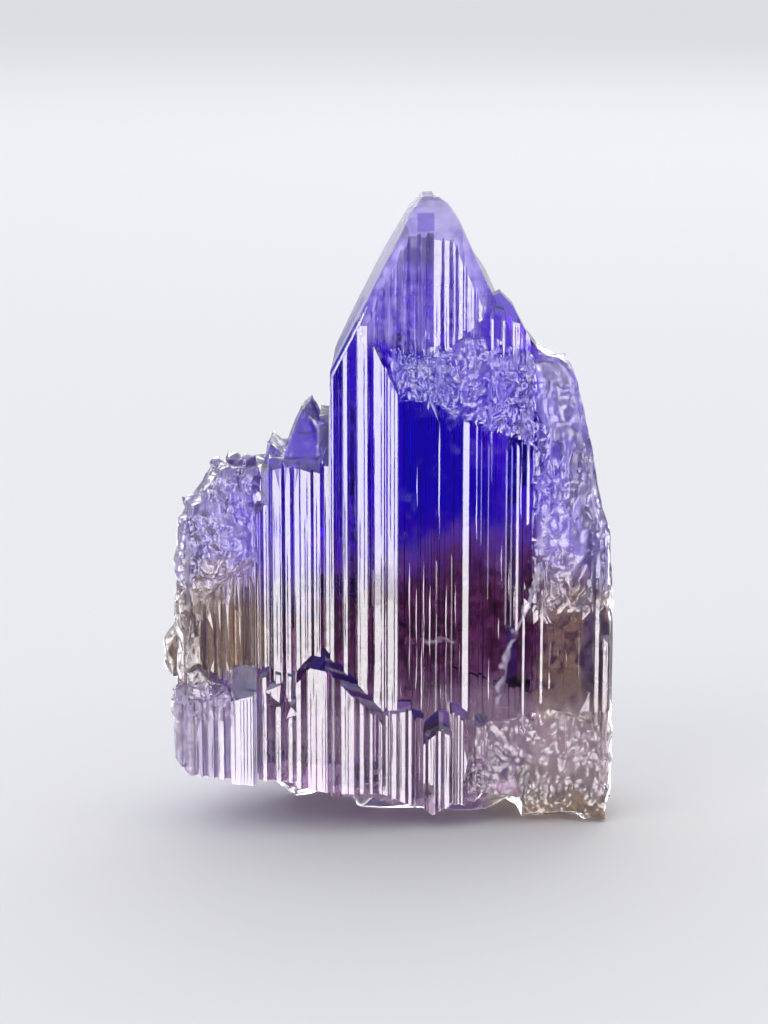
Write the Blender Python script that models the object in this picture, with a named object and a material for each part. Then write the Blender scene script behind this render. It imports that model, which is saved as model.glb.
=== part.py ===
"""A rough tanzanite crystal, standing on its broken foot.

The crystal is one natural solid: a tall wedge-topped spire with lath-like growth steps down its front, a
short shoulder crystal beside it, an etched flank on the right, a low fluted column and a lumpy flank on the
left, and a row of blunt crystals that stand forward round the foot.

Lengths are in millimetres until the last step. X is to the right, Y goes from front to back and Z is up.
The origin is under the middle of the crystal, on the surface that it stands on.
"""

import math
import random

import bmesh
import bpy
from mathutils import Vector, noise

MM = 0.001
NODE = "tanzanite_crystal"

# Driving sizes: the height, and the depths of the main faces
HEIGHT = 38.3
FRONT = -5.0
BACK = 5.2
WINDOW = -4.3
FORWARD = -6.1

# How the growth steps lie: laths face a little to the left, worn ones less, and deeper strips face right
LATH_TURN = math.tan(math.radians(6.0))
WORN_TURN = math.tan(math.radians(1.5))
STRIP_TURN = math.tan(math.radians(9.0))
RISER = 0.04

# Corners of the spire's outline as (x, z)
DOME_LEFT = (-3.49, 27.8)
PEAK_LEFT = (1.41, 37.38)
TIP_LEFT = (2.15, 38.24)
TIP_RIGHT = (3.1, 38.3)
TIP_EDGE = (3.7, 37.88)
PEAK_RIGHT = (4.3, 37.0)
DOME_RIGHT = (6.24, 32.75)


def clear_scene():
    for thing in list(bpy.data.objects):
        bpy.data.objects.remove(thing)


def prism(outline, low, high):
    """A closed upright prism. The outline runs anticlockwise seen from above."""
    form = bmesh.new()
    corners = [form.verts.new((x, y, low)) for x, y in outline]
    foot = form.faces.new(corners)
    foot.normal_flip()
    risen = bmesh.ops.extrude_face_region(form, geom=[foot], use_keep_orig=True)
    top = [item for item in risen["geom"] if isinstance(item, bmesh.types.BMVert)]
    bmesh.ops.translate(form, verts=top, vec=(0.0, 0.0, high - low))
    bmesh.ops.recalc_face_normals(form, faces=form.faces)
    return form


def panel(outline, near, far):
    """A closed prism that runs front to back. Its outline is (x, z), anticlockwise seen from the front."""
    form = prism([(x, z) for x, z in outline], 0.0, far - near)
    for vert in form.verts:
        vert.co = (vert.co.x, near + vert.co.z, vert.co.y)
    bmesh.ops.recalc_face_normals(form, faces=form.faces)
    return form


def cut(form, point, normal):
    """Takes off what lies beyond the plane, on the side its normal points to, and closes the cut."""
    everything = form.verts[:] + form.edges[:] + form.faces[:]
    bmesh.ops.bisect_plane(
        form,
        geom=everything,
        dist=1e-5,
        plane_co=point,
        plane_no=normal,
        clear_outer=True,
    )
    rim = [edge for edge in form.edges if edge.is_boundary]
    if rim:
        bmesh.ops.holes_fill(form, edges=rim, sides=0)


def slope_normal(start, end, rise):
    along = Vector((end[0] - start[0], 0.0, end[1] - start[1]))
    return along.cross(Vector((0.0, 1.0, rise))).normalized()


def roof(form, start, end, rise=0.0, at=0.0):
    """Cuts off what is above a line seen from the front.

    rise is how far the cut climbs for each millimetre back.
    """
    normal = slope_normal(start, end, rise)
    if normal.z < 0:
        normal.negate()
    cut(form, (start[0], at, start[1]), normal)


def underside(form, start, end, rise=0.0, at=0.0):
    """Cuts off what is below a line seen from the front."""
    normal = slope_normal(start, end, rise)
    if normal.z > 0:
        normal.negate()
    cut(form, (start[0], at, start[1]), normal)


def fluted_edge(left, depth, runs, way=-1, turn=LATH_TURN):
    """Points of a fluted face from left to right. A positive run is a lath, a negative one a deeper strip.

    way is -1 for a face at the front and 1 for one at the back. turn is how far the laths face left.
    """
    points = []
    x = left
    for run in runs:
        width = abs(run)
        if run > 0:
            points.append((x + RISER, depth))
            points.append((x + width - RISER, depth + way * width * turn))
        else:
            sunk = depth - way * min(0.32, 0.12 + 0.25 * width)
            points.append((x + RISER, sunk))
            points.append((x + width - RISER, sunk - way * width * STRIP_TURN))
        x += width
    return points


def column(left, front, runs, back, low, high, back_runs=None, side=0.0, turn=LATH_TURN):
    """A prism with a fluted front. Its plan narrows by side towards the back, which may be fluted too."""
    near = fluted_edge(left, front, runs, turn=turn)
    right = left + sum(abs(run) for run in runs)
    if back_runs is None:
        far = [(right - side, back - 0.35), (left + side, back)]
    else:
        spread = (right - left - 2 * side) / sum(abs(run) for run in back_runs)
        scaled = [run * spread for run in back_runs]
        far = fluted_edge(left + side, back, scaled, way=1)[::-1]
    return prism(near + far, low, high)


def random_runs(total, smallest, largest, seed):
    """Widths of laths and strips, by turns, that add up to total."""
    chance = random.Random(seed)
    runs = []
    left = total
    sign = 1
    while left > largest:
        width = chance.uniform(smallest, largest) * (1.0 if sign > 0 else 0.5)
        runs.append(sign * width)
        left -= width
        sign = -sign
    runs.append(left)
    return runs


def profile(value, points):
    """Reads a line drawn through points, given as (value, result) pairs in rising order."""
    if value <= points[0][0]:
        return points[0][1]
    for (low, at_low), (high, at_high) in zip(points, points[1:]):
        if value <= high:
            return at_low + (at_high - at_low) * (value - low) / (high - low)
    return points[-1][1]


def lumps(spot, size):
    """How far an etched surface swells: 1 on the crown of a lump, about -0.6 in the groove between two."""
    near = noise.voronoi(Vector((spot[0] / size, spot[1] / size, spot[2] / (size * 1.25))))[0]
    return 1.0 - 2.2 * near[0]


def grain(centre, radii, chance, points=11):
    """A blunt faceted grain: the hull of a few points spread over an ellipsoid."""
    form = bmesh.new()
    turn = chance.uniform(0.0, math.tau)
    for i in range(points):
        up = 1.0 - 2.0 * (i + 0.5) / points
        round_it = i * 2.39996 + turn + chance.uniform(-0.35, 0.35)
        out = math.sqrt(max(0.0, 1.0 - up * up))
        reach = chance.uniform(0.82, 1.12)
        spot = Vector((out * math.cos(round_it), out * math.sin(round_it), up)) * reach
        form.verts.new([c + r * s for c, r, s in zip(centre, radii, spot)])
    bmesh.ops.convex_hull(form, input=form.verts)
    bmesh.ops.recalc_face_normals(form, faces=form.faces)
    return form


def skin(rings):
    """A closed form through rings of points, one for each level, all with the same number of points."""
    form = bmesh.new()
    place = form.verts.layers.int.new("place")
    first = bmesh.ops.create_circle(form, segments=len(rings[0]), radius=1.0)["verts"]
    for number, vert in enumerate(first):
        vert[place] = number
        vert.co = rings[0][number]
    edges = form.edges[:]
    for ring in rings[1:]:
        risen = bmesh.ops.extrude_edge_only(form, edges=edges)["geom"]
        edges = [item for item in risen if isinstance(item, bmesh.types.BMEdge)]
        for item in risen:
            if isinstance(item, bmesh.types.BMVert):
                item.co = ring[item[place]]
    bmesh.ops.holes_fill(form, edges=[edge for edge in form.edges if edge.is_boundary], sides=0)
    bmesh.ops.triangulate(form, faces=form.faces)
    bmesh.ops.recalc_face_normals(form, faces=form.faces)
    return form


def etched_column(levels, plan, size, swell):
    """An upright form with a lumpy skin.

    plan(z) gives its ring of (x, y), and swell(x, z) how strong the lumps are.
    """
    rings = []
    for z in levels:
        flat = plan(z)
        middle = Vector((sum(x for x, y in flat) / len(flat), sum(y for x, y in flat) / len(flat)))
        ring = []
        for x, y in flat:
            out = (Vector((x, y)) - middle).normalized()
            push = swell(x, z) * lumps((x, y, z), size)
            ring.append((x + out.x * push, y + out.y * push, z + 0.35 * push))
        rings.append(ring)
    return skin(rings)


def etched_patch(left, right, low, high, surface, inner, across, up, size, swell):
    """A slab whose front is a lumpy patch.

    surface(x, z) gives the depth of the patch, and inner is how deep the slab reaches.
    """
    form = bmesh.new()
    bmesh.ops.create_grid(form, x_segments=across, y_segments=up, size=0.5)
    for vert in form.verts:
        x = left + (right - left) * (vert.co.x + 0.5)
        z = low(x) + (high(x) - low(x)) * (vert.co.y + 0.5)
        y = surface(x, z)
        push = swell * lumps((x, y, z), size)
        vert.co = (x, y - push, z + 0.3 * push)
    back = bmesh.ops.extrude_face_region(form, geom=form.faces[:], use_keep_orig=True)["geom"]
    for item in back:
        if isinstance(item, bmesh.types.BMVert):
            item.co.y = inner
    bmesh.ops.triangulate(form, faces=form.faces)
    bmesh.ops.recalc_face_normals(form, faces=form.faces)
    return form


def steps(start, end, spacing):
    """Levels from start to end, as even as the spacing allows."""
    count = max(1, round((end - start) / spacing))
    return [start + (end - start) * i / count for i in range(count + 1)]


def along(points, count):
    """Spreads count points evenly along an open line of (x, y)."""
    lengths = [0.0]
    for (x0, y0), (x1, y1) in zip(points, points[1:]):
        lengths.append(lengths[-1] + math.hypot(x1 - x0, y1 - y0))
    xs = list(zip(lengths, (x for x, y in points)))
    ys = list(zip(lengths, (y for x, y in points)))
    run = [lengths[-1] * i / (count - 1) for i in range(count)]
    return [(profile(step, xs), profile(step, ys)) for step in run]


def between(value, low, high, at_low, at_high):
    share = min(1.0, max(0.0, (value - low) / (high - low)))
    return at_low + (at_high - at_low) * share


def peak_roofs(form, front, lower=0.0):
    """The wedge of the spire: steep dome faces, a blunt tip, bevels in front and a long slope behind."""
    outline = (DOME_LEFT, PEAK_LEFT, TIP_LEFT, TIP_RIGHT, TIP_EDGE, PEAK_RIGHT, DOME_RIGHT)
    corners = [(x, z - lower) for x, z in outline]
    for start, end in zip(corners, corners[1:]):
        roof(form, start, end, at=0.5)
    for start, end, inset in ((corners[1], corners[0], 0.55), (corners[-1], corners[-2], 0.75)):
        steep = slope_normal(start, end, 0.0)
        if steep.z < 0:
            steep.negate()
        bevel = (steep + Vector((0.0, -0.8, 0.0))).normalized()
        foot = Vector((start[0], front, start[1])) - steep * inset
        cut(form, foot, bevel)
    cut(form, (2.9, front, 36.1), Vector((0.08, -0.62, 0.78)))
    cut(form, (2.7, 0.9, 38.3), Vector((0.1, 0.72, 0.69)))


def spire():
    """The tall middle crystal, its window and the laths that stand proud of it."""
    forms = []
    core = prism(
        [
            (-3.40, -4.55),
            (0.62, -4.62),
            (0.70, WINDOW),
            (8.75, -3.72),
            (8.9, 3.9),
            (7.2, BACK),
            (2.4, BACK + 0.15),
            (-1.9, BACK - 0.4),
            (-3.05, 3.6),
        ],
        1.9,
        HEIGHT,
    )
    peak_roofs(core, WINDOW)
    roof(core, (6.0, 33.2), (8.9, 28.7), at=-1.0)
    forms.append(core)

    rail_runs = (0.30, -0.52, 0.30, -0.54, 0.66, -0.22)
    rail = column(-3.42, FRONT, rail_runs, 0.4, 7.0, 32.0, side=0.3)
    roof(rail, (-3.49, 27.6), (-0.9, 32.62), rise=0.15, at=-3.0)
    roof(rail, (-1.8, 31.0), (-0.8, 31.15), rise=0.9, at=FRONT)
    forms.append(rail)

    blade_runs = (0.68, -0.17, 0.63)
    blade = column(-0.80, FRONT - 0.12, blade_runs, 0.2, 6.9, 30.0, side=0.25)
    roof(blade, (-0.80, 29.9), (0.70, 26.9), rise=0.8, at=FRONT - 0.1)
    forms.append(blade)

    worn_runs = (0.26, -0.14, 0.30, -0.20, 0.24, -0.16, 0.22, -0.26, 0.34, -0.12, 0.42, -0.24, 0.32, -1.0)
    worn = column(-0.87, -4.68, worn_runs, -1.5, 28.6, HEIGHT + 0.5, side=0.4, turn=WORN_TURN)
    underside(worn, (-0.8, 29.9), (2.8, 28.6), rise=1.4, at=-4.7)
    bright_runs = (0.52, -0.10, 0.36, -0.14, 0.22, -0.10, 0.34, -0.20, 0.50, -0.16, 0.34, -0.14, 0.30)
    bright = column(2.74, -4.74, bright_runs, -1.5, 28.6, HEIGHT + 0.5, side=0.1)
    underside(bright, (2.7, 28.8), (3.6, 29.6), rise=1.2, at=-4.7)
    underside(bright, (3.6, 29.4), (6.3, 30.2), rise=1.2, at=-4.7)
    for crown in (worn, bright):
        peak_roofs(crown, -4.72, lower=0.06)
        forms.append(crown)
    return forms


def window_ribs():
    """Thin straight ribs that run down the window and the brown face under it."""
    rows = (
        # left edge, width, depth proud, low, high
        (4.55, 0.42, 0.16, 6.6, 25.5),
        (2.92, 0.16, 0.09, 7.0, 16.9),
        (3.86, 0.14, 0.09, 6.8, 17.2),
        (5.62, 0.12, 0.07, 17.4, 24.2),
        (6.05, 0.12, 0.07, 14.0, 23.9),
        (7.12, 0.15, 0.10, 12.4, 23.6),
        (7.44, 0.14, 0.12, 12.3, 23.8),
        (7.76, 0.22, 0.10, 12.0, 23.9),
        (8.38, 0.22, 0.16, 18.6, 28.9),
        (8.20, 0.20, 0.14, 4.4, 13.4),
        (9.28, 0.22, 0.20, 5.6, 16.4),
        (12.62, 0.30, 0.28, 5.9, 18.2),
        (13.12, 0.36, 0.30, 2.2, 11.8),
    )
    forms = []
    for left, width, proud, low, high in rows:
        face = profile(left, ((0.7, WINDOW), (8.75, -3.72), (13.9, -3.35)))
        front = face - proud
        rib = column(left, front, (width,), face + 1.1, low, high, side=-0.12)
        roof(rib, (left, high - 0.1), (left + width, high - 0.45), rise=0.9, at=front)
        underside(rib, (left, low + 0.1), (left + width, low + 0.3), rise=-0.8, at=front)
        forms.append(rib)
    return forms


def shoulder():
    """The short crystal that stands against the right side of the spire."""
    runs = (0.22, -0.45, 0.22, -0.38, 0.50, -0.28, 0.34)
    form = column(6.15, -4.28, runs, 2.6, 27.0, 33.0, side=0.2)
    underside(form, (6.1, 29.3), (8.6, 28.0), rise=1.3, at=-4.2)
    roof(form, (5.9, 32.35), (6.75, 32.68), at=-0.5)
    roof(form, (6.75, 32.68), (7.45, 32.0), at=-0.5)
    roof(form, (7.45, 32.05), (8.80, 29.5), at=-0.5)
    cut(form, (6.9, -4.3, 31.2), Vector((0.1, -0.7, 0.72)))
    cut(form, (6.9, 1.2, 32.4), Vector((0.1, 0.8, 0.6)))
    return [form]


RIGHT_RIM = (
    (8.5, 14.0),
    (13.85, 14.0),
    (13.62, 17.8),
    (13.1, 19.4),
    (12.4, 23.2),
    (12.0, 24.95),
    (11.5, 27.1),
    (11.25, 27.8),
    (10.9, 28.15),
    (10.4, 28.5),
    (9.8, 28.62),
    (9.1, 29.05),
    (8.5, 29.9),
)
RIGHT_EDGE = (
    (0.0, 13.2),
    (1.5, 13.85),
    (13.1, 13.8),
    (16.3, 13.6),
    (17.9, 13.4),
    (19.5, 12.95),
    (21.3, 12.6),
    (24.9, 11.8),
    (27.0, 11.25),
    (28.0, 10.75),
)


def right_flank():
    """The etched flank: its upper face leans away to the right, its lower face is flatter."""

    def plan(z):
        edge = profile(z, RIGHT_EDGE)
        lean = profile(z, ((0.0, 0.0), (12.5, 0.0), (15.0, 0.35), (26.8, 0.85), (27.8, 1.3), (28.5, 2.3)))
        far = profile(z, ((0.0, 4.1), (18.0, 4.4), (25.0, 3.2), (27.4, 2.2), (28.5, 0.6)))
        front = along([(8.3, -3.9 + 0.4 * lean), (9.1, -3.8 + 0.6 * lean), (edge - 0.25, -3.3 + lean)], 10)
        side = along([(edge, -2.6 + lean), (edge + 0.05, 0.8), (edge - 0.9, far - 1.1)], 6)
        rear = along([(edge - 2.0, far), (7.4, far + 0.5)], 6)
        return front + side + rear

    def swell(x, z):
        if x < 8.5:
            return 0.0
        rough_foot = ((0.0, 0.22), (6.6, 0.18), (8.0, 0.03))
        height = profile(z, (*rough_foot, (12.2, 0.03), (14.0, 0.26), (28.3, 0.30)))
        return height * between(z, 27.6, 28.6, 1.0, 0.5)

    levels = steps(0.5, 7.0, 0.65) + steps(8.2, 12.6, 1.4) + steps(13.2, 28.4, 0.5)
    rim = panel(RIGHT_RIM, -1.5, 1.3)
    cut(rim, (11.4, 1.3, 27.0), Vector((0.4, 0.75, 0.5)))
    cut(rim, (12.9, 1.3, 18.5), Vector((0.75, 0.62, 0.1)))
    return [etched_column(levels, plan, 0.95, swell), rim]


def etched_band():
    """The ragged band of small steps between the crown's laths and the deep window."""

    def low(x):
        return profile(x, ((0.3, 26.6), (3.0, 26.2), (4.6, 24.9), (8.7, 23.6)))

    def high(x):
        return profile(x, ((0.3, 30.2), (2.2, 29.6), (6.2, 30.3), (8.7, 29.0)))

    def surface(x, z):
        face = between(x, 0.7, 8.75, WINDOW, -3.72)
        return face + between(z, low(x), high(x), -0.06, -0.34)

    return [etched_patch(0.35, 8.75, low, high, surface, -2.6, 19, 13, 0.72, 0.24)]


def left_column():
    """The bright fluted column left of the spire, with a small dark pointed crystal on its top."""
    forms = []
    runs = (0.12, -0.14, 0.60, -0.10, 0.42, -0.18, 0.36, 0.68, -0.10, 0.46)
    bright = column(-7.08, -5.22, runs, 1.5, 7.8, 23.0, side=0.2)
    roof(bright, (-7.1, 22.2), (-6.2, 22.55), rise=0.9, at=-5.3)
    roof(bright, (-6.2, 22.6), (-3.9, 22.15), rise=0.9, at=-5.3)
    forms.append(bright)

    slot = column(-4.1, -4.62, (-0.35, 0.35), 1.0, 8.2, 25.2, side=0.1)
    roof(slot, (-4.1, 25.3), (-3.4, 25.1), rise=0.3, at=-2.5)
    cut(slot, (-3.8, -4.6, 22.6), Vector((0.0, -0.86, 0.5)))
    forms.append(slot)

    plan = [(-6.3, -4.45), (-4.5, -4.8), (-3.9, -4.3), (-3.7, -1.0), (-4.8, 0.4), (-6.3, 0.2)]
    point = prism(plan, 18.0, 26.6)
    roof(point, (-6.2, 22.9), (-5.15, 25.45), at=-1.6)
    roof(point, (-5.2, 25.4), (-4.5, 26.25), at=-1.6)
    roof(point, (-4.5, 26.25), (-3.9, 24.9), at=-1.6)
    cut(point, (-5.0, -4.75, 22.3), Vector((0.12, -0.88, 0.46)))
    cut(point, (-4.6, -0.9, 26.2), Vector((0.0, 0.8, 0.6)))
    forms.append(point)

    bud = prism([(-7.5, -3.7), (-6.1, -4.2), (-5.7, 0.9), (-7.2, 0.8)], 17.0, 23.7)
    roof(bud, (-7.5, 22.3), (-6.95, 23.6), at=-1.6)
    roof(bud, (-6.98, 23.6), (-5.9, 22.7), at=-1.6)
    cut(bud, (-6.8, -4.1, 21.9), Vector((-0.15, -0.84, 0.52)))
    forms.append(bud)

    shelf = column(-7.95, -4.86, (0.14, -0.16, 0.14, -0.12, 0.34), 1.2, 7.6, 20.2, side=0.15)
    roof(shelf, (-7.95, 19.3), (-7.0, 20.6), rise=0.5, at=-4.8)
    forms.append(shelf)
    return forms


LEFT_EDGE = (
    (4.2, -12.35),
    (5.4, -12.8),
    (9.0, -12.75),
    (13.0, -12.85),
    (17.9, -12.75),
    (19.6, -12.2),
    (20.6, -11.3),
    (21.6, -10.6),
    (22.1, -10.0),
)


def left_flank():
    """The low flank: rounded lumps above, brown striated faces in the middle."""
    forms = []
    runs = random_runs(3.75, 0.2, 0.55, seed=21)
    back_runs = random_runs(3.6, 0.3, 0.9, seed=22)
    body = column(-11.3, -4.62, runs, 3.7, 3.4, 17.2, back_runs=back_runs, side=0.1, turn=-WORN_TURN)
    roof(body, (-11.4, 13.4), (-9.8, 15.4), rise=0.9, at=-4.6)
    roof(body, (-9.8, 15.4), (-7.4, 16.6), rise=0.9, at=-4.6)
    forms.append(body)
    forms.append(prism([(-11.9, -3.7), (-2.6, -3.9), (-2.6, 3.4), (-11.6, 2.8)], 4.6, 17.5))

    def plan(z):
        edge = profile(z, LEFT_EDGE)
        lean = profile(z, ((9.0, 0.15), (15.5, 0.0), (19.0, 0.35), (22.1, 1.5)))
        far = profile(z, ((4.2, 2.2), (9.0, 3.0), (16.0, 3.3), (20.0, 2.6), (22.1, 0.9)))
        front = along([(-7.3, -4.35 + lean), (-9.0, -4.5 + lean), (edge + 0.5, -4.1 + lean)], 12)
        side = along([(edge, -3.2 + lean), (edge - 0.05, 0.2), (edge + 0.5, far - 1.0)], 6)
        rear = along([(edge + 1.4, far), (-6.6, far + 0.5)], 7)
        return (front + side + rear)[::-1]

    def swell(x, z):
        if x > -7.8:
            return 0.0
        inward = profile(x, ((-11.4, 12.4), (-9.8, 15.2), (-8.0, 16.4)))
        return 0.34 * between(z, inward - 1.6, inward + 0.4, 0.3, 1.0)

    levels = steps(4.2, 11.4, 1.2) + steps(12.0, 22.1, 0.48)
    forms.append(etched_column(levels, plan, 0.9, swell))

    chance = random.Random(52)
    skyline = (
        (-10.3, 21.9, 0.55),
        (-9.3, 22.1, 0.62),
        (-8.3, 22.15, 0.6),
        (-7.5, 21.7, 0.6),
    )
    for x, z, size in skyline:
        forms.append(grain((x, chance.uniform(-1.6, -0.8), z), (size, size * 1.6, size), chance))
    for x, z, wide, tall in ((-6.95, 22.3, 0.42, 1.25), (-6.3, 22.0, 0.5, 1.0)):
        forms.append(grain((x, -0.9, z), (wide, 0.9, tall), chance))

    stub = grain((-12.95, -0.5, 9.95), (1.05, 1.7, 1.95), chance, points=16)
    cut(stub, (-14.0, 0.0, 10.0), Vector((-1.0, 0.0, 0.0)))
    forms.append(stub)
    forms.append(grain((-12.7, -1.2, 6.8), (0.75, 2.2, 1.3), chance))
    return forms


def forward_crystals():
    """Blunt crystals that stand forward round the foot, under sloping ledges."""
    forms = []
    first_runs = (0.5, -0.22, 0.5, -0.18, 0.34, -0.3, 0.4, -0.2, 0.42, -0.44)
    first = column(-12.85, -5.55, first_runs, 0.0, 3.0, 8.9, side=0.3)
    roof(first, (-12.9, 8.0), (-9.3, 8.5), rise=0.75, at=-5.5)
    underside(first, (-12.9, 4.9), (-12.0, 3.55), at=-5.0)
    underside(first, (-12.1, 3.6), (-9.3, 3.25), rise=0.15, at=-5.5)
    forms.append(first)
    chance = random.Random(77)
    for x, z, size in ((-12.1, 8.3, 1.0), (-11.0, 8.9, 1.25), (-9.9, 8.2, 0.95)):
        forms.append(grain((x, -4.8, z), (size, 0.95, size), chance, points=14))

    slab = column(-9.42, FORWARD, (1.42, 0.24), 0.1, 3.1, 10.2, side=0.15)
    roof(slab, (-9.42, 8.35), (-7.76, 9.05), rise=1.05, at=FORWARD)
    underside(slab, (-9.5, 3.22), (-7.7, 3.12), rise=0.12, at=FORWARD)
    forms.append(slab)

    hollow = column(-7.8, -5.42, (-0.3, 0.3, -0.5, 0.35, -0.4, 0.3, -0.6, 0.35), 0.2, 3.0, 10.6, side=0.1)
    roof(hollow, (-7.8, 9.5), (-6.9, 9.95), rise=0.8, at=-5.4)
    roof(hollow, (-6.9, 9.95), (-4.7, 9.6), rise=0.8, at=-5.4)
    underside(hollow, (-7.9, 3.2), (-4.6, 3.0), rise=0.1, at=-5.4)
    forms.append(hollow)
    for x, z, size in ((-6.7, 8.5, 0.95), (-5.75, 7.7, 0.8)):
        forms.append(grain((x, -5.2, z), (size * 0.7, 0.55, size * 1.3), chance, points=12))

    arch_runs = (0.34, -0.34, 1.24, -0.24, 0.20, -0.34, 0.84, -0.28, 0.3, -0.30, 0.22, -0.34, 0.24)
    arch = column(-5.45, FORWARD - 0.1, arch_runs, 0.3, 2.6, 11.3, side=0.1)
    roof(arch, (-5.9, 9.0), (-4.55, 10.6), rise=0.55, at=FORWARD)
    roof(arch, (-4.55, 10.55), (-3.7, 10.45), rise=0.55, at=FORWARD)
    roof(arch, (-3.75, 10.5), (-0.2, 7.0), rise=0.55, at=FORWARD)
    underside(arch, (-5.5, 3.0), (-0.3, 2.3), rise=0.1, at=FORWARD)
    forms.append(arch)
    return forms


def foot_columns():
    """Fluted stubs below the window and the broken foot at the right."""
    forms = []
    first = column(-0.25, -5.36, (0.36, -0.16, 0.36, -0.14, 0.4, -0.12, 0.26), 0.2, 1.5, 8.0, side=0.1)
    roof(first, (-0.3, 7.3), (1.6, 7.7), rise=0.8, at=-5.3)
    underside(first, (-0.3, 2.35), (1.5, 1.6), rise=0.1, at=-5.3)
    forms.append(first)

    gap = column(1.35, -4.86, (-0.3, 0.16, -0.5), 0.3, 1.3, 8.2, side=0.05)
    roof(gap, (1.3, 7.2), (2.4, 6.5), rise=0.8, at=-4.8)
    forms.append(gap)

    bundle = column(2.2, -5.42, (0.2, -0.1, 0.5, -0.1, 0.24, -0.14, 0.36), 0.3, 0.9, 7.6, side=0.05)
    roof(bundle, (2.2, 6.75), (3.2, 6.35), rise=0.8, at=-5.4)
    roof(bundle, (3.0, 6.2), (3.95, 7.1), rise=0.8, at=-5.4)
    underside(bundle, (2.1, 1.3), (2.8, 1.0), rise=0.1, at=-5.4)
    underside(bundle, (2.8, 1.0), (3.9, 1.6), rise=0.1, at=-5.4)
    forms.append(bundle)

    small = column(3.8, -4.98, (0.18, -0.16, 0.16, -0.2, 0.18, -0.3), 0.3, 1.5, 7.8, side=0.05)
    roof(small, (3.8, 7.4), (5.0, 6.7), rise=0.7, at=-4.9)
    forms.append(small)

    chip = column(5.3, -4.74, (0.62, -0.3), 0.3, 3.9, 7.0, side=0.05)
    roof(chip, (5.3, 6.5), (6.2, 6.2), rise=0.8, at=-4.7)
    underside(chip, (5.2, 4.5), (6.3, 4.0), rise=-0.7, at=-4.7)
    forms.append(chip)

    def low(x):
        return profile(x, ((4.9, 2.2), (7.5, 1.9), (10.6, 1.25), (13.0, 0.2)))

    def high(x):
        return profile(x, ((4.9, 3.9), (6.3, 6.4), (10.0, 7.3), (13.4, 6.0)))

    def surface(x, z):
        face = profile(x, ((5.0, -4.35), (9.0, -4.15), (13.4, -3.75)))
        return face + between(z, low(x), high(x), -0.1, 0.3)

    forms.append(etched_patch(4.9, 13.45, low, high, surface, -2.0, 17, 10, 0.85, 0.22))
    return forms


def broken_foot():
    """The underside: blunt breaks, the lowest of which end on the surface that the crystal stands on."""
    chance = random.Random(8)
    forms = []
    rows = (
        # place, radii
        ((0.6, 0.8, 1.9), (4.0, 3.4, 3.1)),
        ((5.2, 0.8, 1.8), (3.8, 3.5, 2.9)),
        ((9.9, 0.2, 1.7), (3.3, 3.3, 2.4)),
        ((-4.6, 2.0, 2.6), (3.2, 2.6, 3.1)),
        ((-8.9, 0.2, 4.6), (3.4, 2.9, 2.2)),
        ((12.3, -1.7, 1.2), (1.5, 2.1, 1.5)),
    )
    for place, radii in rows:
        forms.append(grain(place, radii, chance, points=17))
    return forms


def back_crystals():
    """The far side, which the same growth made: fluted faces, a ledge and a lower blunt crystal."""
    forms = []
    wide_runs = random_runs(8.8, 0.3, 1.1, seed=71)
    wide = column(-1.6, 0.0, (8.8,), BACK + 0.35, 4.0, 30.5, back_runs=wide_runs, side=0.4)
    roof(wide, (-3.2, 27.2), (1.2, 35.4), rise=-0.2, at=4.0)
    roof(wide, (-1.6, 30.0), (7.6, 27.9), rise=-1.1, at=5.0)
    forms.append(wide)

    low_runs = random_runs(9.6, 0.35, 1.3, seed=73)
    low = column(-8.2, 0.3, (9.6,), 5.9, 1.6, 14.5, back_runs=low_runs, side=0.5)
    roof(low, (-8.2, 10.2), (-4.4, 13.9), rise=-1.0, at=5.4)
    roof(low, (-4.4, 13.9), (1.4, 11.2), rise=-1.0, at=5.4)
    underside(low, (-8.4, 3.4), (1.4, 1.4), rise=0.3, at=4.5)
    forms.append(low)

    edge_runs = random_runs(5.4, 0.25, 0.8, seed=75)
    edge = column(3.4, 0.2, (5.4,), 5.75, 1.2, 9.4, back_runs=edge_runs, side=0.3)
    roof(edge, (3.4, 8.9), (8.8, 7.0), rise=-0.9, at=5.3)
    underside(edge, (3.2, 1.5), (9.0, 1.9), rise=0.3, at=4.5)
    forms.append(edge)
    return forms


def as_object(name, form):
    mesh = bpy.data.meshes.new(name)
    form.to_mesh(mesh)
    form.free()
    thing = bpy.data.objects.new(name, mesh)
    bpy.context.scene.collection.objects.link(thing)
    return thing


def grown_together(forms):
    """One closed solid from forms that run into each other."""
    base = as_object("grown", forms[0])
    rest = bpy.data.collections.new("growths")
    bpy.context.scene.collection.children.link(rest)
    for number, form in enumerate(forms[1:]):
        mesh = bpy.data.meshes.new(f"growth_{number}")
        form.to_mesh(mesh)
        form.free()
        rest.objects.link(bpy.data.objects.new(f"growth_{number}", mesh))
    join = base.modifiers.new("join", "BOOLEAN")
    join.operation = "UNION"
    join.operand_type = "COLLECTION"
    join.collection = rest
    join.solver = "EXACT"
    bpy.context.view_layer.update()
    graph = bpy.context.evaluated_depsgraph_get()
    whole = bmesh.new()
    whole.from_mesh(base.evaluated_get(graph).to_mesh())
    for helper in [base, *rest.objects]:
        bpy.data.objects.remove(helper)
    bpy.data.collections.remove(rest)
    return whole


def fill_pockets(form):
    """Makes the crystal solid all through, without the pockets sealed between growths."""
    waiting = set(form.verts)
    shells = []
    while waiting:
        shell = set()
        edge_of_it = [next(iter(waiting))]
        while edge_of_it:
            vert = edge_of_it.pop()
            if vert in shell:
                continue
            shell.add(vert)
            edge_of_it += [edge.other_vert(vert) for edge in vert.link_edges]
        waiting -= shell
        shells.append(shell)
    shells.sort(key=len)
    for shell in shells[:-1]:
        bmesh.ops.delete(form, geom=list(shell), context="VERTS")


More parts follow.
